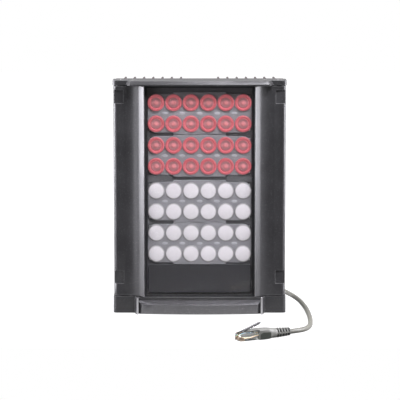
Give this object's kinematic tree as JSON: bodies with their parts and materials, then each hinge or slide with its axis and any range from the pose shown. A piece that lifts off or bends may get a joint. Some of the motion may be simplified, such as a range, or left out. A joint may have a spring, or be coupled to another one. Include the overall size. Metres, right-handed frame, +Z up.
{
  "type": "infrared illuminator",
  "caption": "Upright infrared illuminator with lamp modules behind a clear window, a finned back, a tilt bracket and a network lead.",
  "frame": {"origin": "middle of the object's own box at its underside, measured without the lead and plug", "axes": "+X to the object's left as it faces forward, which is right in the picture; +Y to the back; +Z up; the window faces -Y"},
  "size_m": [0.2072, 0.2777, 0.245],
  "materials": {
    "coated_aluminium": "satin",
    "bare_aluminium": "satin",
    "coated_steel": "satin",
    "steel": "satin",
    "clear_window": "gloss",
    "black_rubber": "matte",
    "mask_black": "matte",
    "panel_dark": "satin",
    "tray_grey": "satin",
    "lens_red": "satin",
    "lens_white": "satin",
    "board_white": "matte",
    "board_green": "satin",
    "chip_red": "satin",
    "chip_white": "satin",
    "parts_black": "matte",
    "gland_plastic": "satin",
    "lead_grey": "satin",
    "plug_clear": "gloss",
    "contact_gold": "polished",
    "boot_grey": "matte"
  },
  "bodies": {
    "housing": {"bezel_mask": "mask_black", "blank_panel": "panel_dark", "board_screws": "steel", "bottom_cap": "coated_aluminium", "bottom_cap_screws": "steel", "bottom_gasket": "black_rubber", "carrier_plate": "bare_aluminium", "carrier_screws": "steel", "cover_screws": "steel", "driver_board": "board_green", "driver_parts": "parts_black", "driver_pillars": "steel", "front_window": "clear_window", "gland_body": "gland_plastic", "gland_lock_nut": "gland_plastic", "gland_nut": "gland_plastic", "gland_seal": "black_rubber", "heat_sink": "coated_aluminium", "housing_shell": "coated_aluminium", "lamp_board_1": "board_white", "lamp_board_2": "board_white", "lamp_board_3": "board_white", "lamp_board_4": "board_white", "lamp_chips_1": "chip_red", "lamp_chips_2": "chip_red", "lamp_chips_3": "chip_white", "lamp_chips_4": "chip_white", "lens_cover": "coated_aluminium", "lens_tray_1": "tray_grey", "lens_tray_2": "tray_grey", "lens_tray_3": "tray_grey", "lens_tray_4": "tray_grey", "lenses_1": "lens_red", "lenses_2": "lens_red", "lenses_3": "lens_white", "lenses_4": "lens_white", "lug_screws": "steel", "network_lead": "lead_grey", "pivot_lug": "coated_aluminium", "plug_body": "plug_clear", "plug_boot": "boot_grey", "plug_contacts": "contact_gold", "rear_screws": "steel", "top_cap": "coated_aluminium", "top_cap_screws": "steel", "top_gasket": "black_rubber", "window_seal": "black_rubber"},
    "bracket": {"tilt_bracket": "coated_steel", "pivot_bolt": "steel", "pivot_washers": "steel", "pivot_nut": "steel"}
  },
  "joints": [
    {"name": "bracket_tilt", "type": "hinge", "parent": "housing", "child": "bracket", "pos_m": [0, 0.022, 0.132], "axis": [1, 0, 0], "range_deg": [-45, 45]}
  ]
}
